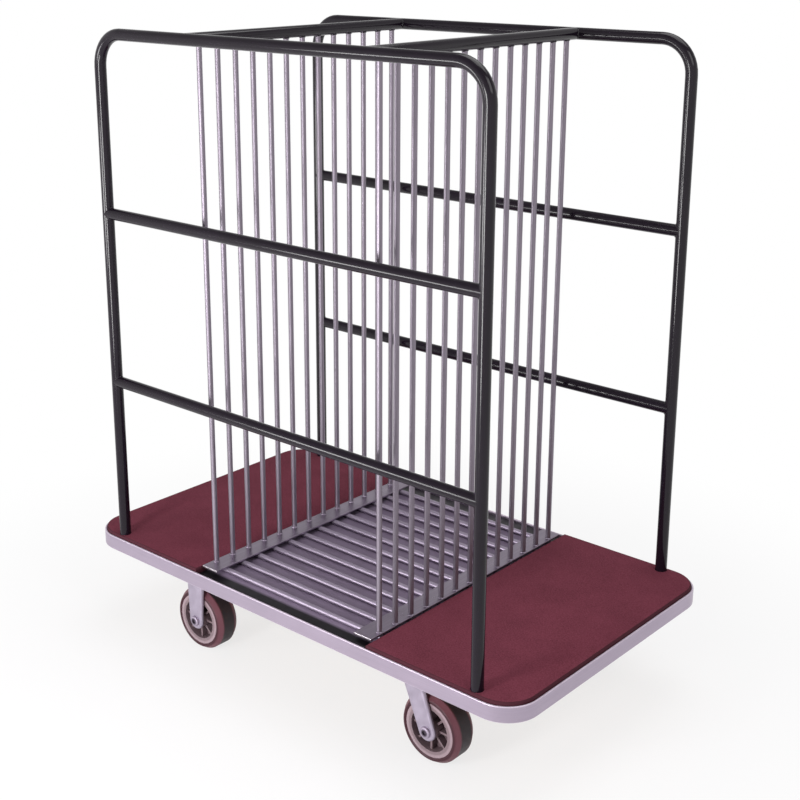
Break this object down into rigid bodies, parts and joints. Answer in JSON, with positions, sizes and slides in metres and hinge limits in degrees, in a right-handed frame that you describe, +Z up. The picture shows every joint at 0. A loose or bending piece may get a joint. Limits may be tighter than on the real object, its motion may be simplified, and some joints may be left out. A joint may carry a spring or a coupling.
{
  "type": "table transport trolley",
  "caption": "Wheeled rack trolley that carries round table tops on edge: carpeted deck, arched tube side frames, rows of slot rods, fixed and swivel casters.",
  "frame": {"origin": "on the floor under the middle of the deck", "axes": "+X along the deck towards the swivel casters, +Y across it to the far side, +Z up"},
  "size_m": [1.067, 0.61, 1.215],
  "materials": {
    "black_tube": "gloss black enamel on steel tube",
    "rod": "bright plated steel rod",
    "flat_bar": "plated steel flat bar",
    "edge_band": "satin anodised strip",
    "board": "birch plywood, sealed",
    "carpet": "maroon needle-punch carpet",
    "mat": "black ribbed rubber",
    "zinc": "bright zinc plate on pressed steel",
    "fastener": "zinc-plated bolts, nuts and washers",
    "ball": "polished steel balls",
    "tyre": "maroon polyurethane tread, satin",
    "core": "moulded polypropylene wheel core",
    "bearing": "sintered bronze sleeve",
    "plug": "nylon tube plug"
  },
  "bodies": {
    "trolley": {"base_board": "board", "edge_band": "edge_band", "left_panel_board": "board", "right_panel_board": "board", "left_carpet": "carpet", "right_carpet": "carpet", "rubber_mat": "mat", "near_frame_tube": "black_tube", "far_frame_tube": "black_tube", "near_upper_rail": "black_tube", "near_lower_rail": "black_tube", "far_upper_rail": "black_tube", "far_lower_rail": "black_tube", "left_cross_tube": "black_tube", "right_cross_tube": "black_tube", "left_base_bar": "flat_bar", "right_base_bar": "flat_bar", "left_uprights": "rod", "right_uprights": "rod", "floor_rods": "rod", "tube_plugs": "plug", "frame_bolts": "fastener", "frame_washers": "fastener", "caster_bolts": "fastener", "caster_nuts": "fastener", "near_swivel_plate": "zinc", "near_swivel_kingpin": "fastener", "near_swivel_balls": "ball", "near_fixed_fork": "zinc", "near_fixed_axle": "fastener", "near_fixed_axle_nut": "fastener", "near_fixed_spacer": "fastener", "far_swivel_plate": "zinc", "far_swivel_kingpin": "fastener", "far_swivel_balls": "ball", "far_fixed_fork": "zinc", "far_fixed_axle": "fastener", "far_fixed_axle_nut": "fastener", "far_fixed_spacer": "fastener"},
    "near_fixed_wheel": {"near_fixed_bearing": "bearing", "near_fixed_core": "core", "near_fixed_tyre": "tyre"},
    "near_swivel_head": {"near_swivel_fork": "zinc", "near_swivel_axle": "fastener", "near_swivel_axle_nut": "fastener", "near_swivel_spacer": "fastener"},
    "near_swivel_wheel": {"near_swivel_bearing": "bearing", "near_swivel_core": "core", "near_swivel_tyre": "tyre"},
    "far_fixed_wheel": {"far_fixed_bearing": "bearing", "far_fixed_core": "core", "far_fixed_tyre": "tyre"},
    "far_swivel_head": {"far_swivel_fork": "zinc", "far_swivel_axle": "fastener", "far_swivel_axle_nut": "fastener", "far_swivel_spacer": "fastener"},
    "far_swivel_wheel": {"far_swivel_bearing": "bearing", "far_swivel_core": "core", "far_swivel_tyre": "tyre"}
  },
  "joints": [
    {"name": "near_fixed_wheel_spin", "type": "hinge", "parent": "trolley", "child": "near_fixed_wheel", "pos_m": [-0.2775, -0.223, 0.0635], "axis": [0, 1, 0], "continuous": true},
    {"name": "near_caster_swivel", "type": "hinge", "parent": "trolley", "child": "near_swivel_head", "pos_m": [0.2775, -0.223, 0.168], "axis": [0, 0, 1], "continuous": true},
    {"name": "near_swivel_wheel_spin", "type": "hinge", "parent": "near_swivel_head", "child": "near_swivel_wheel", "pos_m": [0.3165, -0.223, 0.0635], "axis": [0, 1, 0], "continuous": true},
    {"name": "far_fixed_wheel_spin", "type": "hinge", "parent": "trolley", "child": "far_fixed_wheel", "pos_m": [-0.2775, 0.223, 0.0635], "axis": [0, 1, 0], "continuous": true},
    {"name": "far_caster_swivel", "type": "hinge", "parent": "trolley", "child": "far_swivel_head", "pos_m": [0.2775, 0.223, 0.168], "axis": [0, 0, 1], "continuous": true},
    {"name": "far_swivel_wheel_spin", "type": "hinge", "parent": "far_swivel_head", "child": "far_swivel_wheel", "pos_m": [0.3165, 0.223, 0.0635], "axis": [0, 1, 0], "continuous": true}
  ]
}
